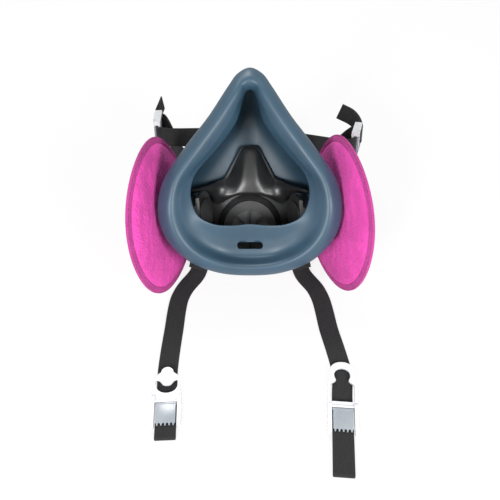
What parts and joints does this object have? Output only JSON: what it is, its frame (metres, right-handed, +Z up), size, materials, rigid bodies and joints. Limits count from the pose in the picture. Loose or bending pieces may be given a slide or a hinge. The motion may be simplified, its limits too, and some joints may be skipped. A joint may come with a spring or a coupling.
{
  "type": "half-mask respirator",
  "caption": "Reusable half-mask respirator lying on its front: soft facepiece, bayonet disc filters, valved breathing ports, elastic head harness and neck straps with buckles.",
  "frame": {"origin": "a point on the flat foot of the exhalation cover that the mask rests on, on the mask's middle plane", "axes": "+Z up from the table, +X to the viewer's right across the mask, +Y away from the viewer; the neck straps lead towards -Y"},
  "size_m": [0.1573, 0.2644, 0.1316],
  "materials": {
    "silicone": "satin",
    "valve_rubber": "satin",
    "black_plastic": "satin",
    "filter_media": "matte",
    "webbing": "matte",
    "clear_plastic": "gloss"
  },
  "bodies": {
    "mask": {"facepiece": "silicone", "inner_frame": "black_plastic", "exhalation_seat": "black_plastic", "exhalation_cover": "black_plastic", "yoke": "black_plastic", "connector_left": "black_plastic", "connector_right": "black_plastic", "connector_nut_left": "black_plastic", "connector_nut_right": "black_plastic", "crown_strap": "webbing", "side_strap_left": "webbing", "side_strap_right": "webbing", "adjuster_left": "clear_plastic", "adjuster_right": "clear_plastic"},
    "filter_left": {"filter_pad_left": "filter_media", "filter_hub_left": "black_plastic", "filter_gasket_left": "valve_rubber"},
    "filter_right": {"filter_pad_right": "filter_media", "filter_hub_right": "black_plastic", "filter_gasket_right": "valve_rubber"},
    "exhalation_flap": {"exhalation_valve": "valve_rubber"},
    "inhalation_flap_left": {"inhalation_valve_left": "valve_rubber"},
    "inhalation_flap_right": {"inhalation_valve_right": "valve_rubber"},
    "neck_left": {"neck_strap_left": "webbing"},
    "hook": {"neck_hook": "clear_plastic"},
    "hook_tab": {"neck_hook_tab": "clear_plastic"},
    "neck_right": {"neck_strap_right": "webbing"},
    "keyhole": {"neck_keyhole": "clear_plastic"},
    "keyhole_tab": {"neck_keyhole_tab": "clear_plastic"},
    "left_adjuster_tab": {"adjuster_left_tab": "clear_plastic"},
    "right_adjuster_tab": {"adjuster_right_tab": "clear_plastic"}
  },
  "joints": [
    {"name": "filter_left_twist", "type": "hinge", "parent": "mask", "child": "filter_left", "pos_m": [-0.0456, -0.02382, 0.05422], "axis": [-0.9632, 0.173, -0.2055], "range_deg": [0, 60]},
    {"name": "filter_right_twist", "type": "hinge", "parent": "mask", "child": "filter_right", "pos_m": [0.0456, -0.02382, 0.05422], "axis": [0.9619, 0.2409, -0.1295], "range_deg": [0, 60]},
    {"name": "exhalation_flap_lift", "type": "slide", "parent": "mask", "child": "exhalation_flap", "axis": [0, 0.7431, -0.6691], "range_m": [0, 0.002], "stiffness_N_per_m": 30, "springref_m": -0.001},
    {"name": "inhalation_flap_left_lift", "type": "slide", "parent": "mask", "child": "inhalation_flap_left", "axis": [0.9632, -0.173, 0.2055], "range_m": [0, 0.0015], "stiffness_N_per_m": 30, "springref_m": -0.001},
    {"name": "inhalation_flap_right_lift", "type": "slide", "parent": "mask", "child": "inhalation_flap_right", "axis": [-0.9619, -0.2409, 0.1295], "range_m": [0, 0.0015], "stiffness_N_per_m": 30, "springref_m": -0.001},
    {"name": "neck_left_swing", "type": "hinge", "parent": "mask", "child": "neck_left", "pos_m": [-0.034, -0.01809, 0.01112], "axis": [-1, 0, 0], "range_deg": [0, 7.5]},
    {"name": "hook_slide", "type": "slide", "parent": "neck_left", "child": "hook", "axis": [-0.0454, 0.999, 0], "range_m": [0, 0.02]},
    {"name": "hook_tab_lift", "type": "hinge", "parent": "hook", "child": "hook_tab", "pos_m": [-0.05084, -0.1328, 0.0042], "axis": [-0.999, -0.0454, 0], "range_deg": [0, 65]},
    {"name": "neck_right_swing", "type": "hinge", "parent": "mask", "child": "neck_right", "pos_m": [0.034, -0.01809, 0.01112], "axis": [-1, 0, 0], "range_deg": [0, 14]},
    {"name": "keyhole_slide", "type": "slide", "parent": "neck_right", "child": "keyhole", "axis": [0.0732, 0.9973, 0], "range_m": [0, 0.02]},
    {"name": "keyhole_tab_lift", "type": "hinge", "parent": "keyhole", "child": "keyhole_tab", "pos_m": [0.05592, -0.13679, 0.0042], "axis": [-0.9973, 0.0732, 0], "range_deg": [0, 65]},
    {"name": "left_adjuster_tab_lift", "type": "hinge", "parent": "mask", "child": "left_adjuster_tab", "pos_m": [-0.06763, 0.04824, 0.06413], "axis": [-0.0001, 0.3011, 0.9536], "range_deg": [0, 50]},
    {"name": "right_adjuster_tab_lift", "type": "hinge", "parent": "mask", "child": "right_adjuster_tab", "pos_m": [0.0775, 0.04525, 0.05647], "axis": [-0.001, -0.344, -0.939], "range_deg": [0, 50]}
  ]
}
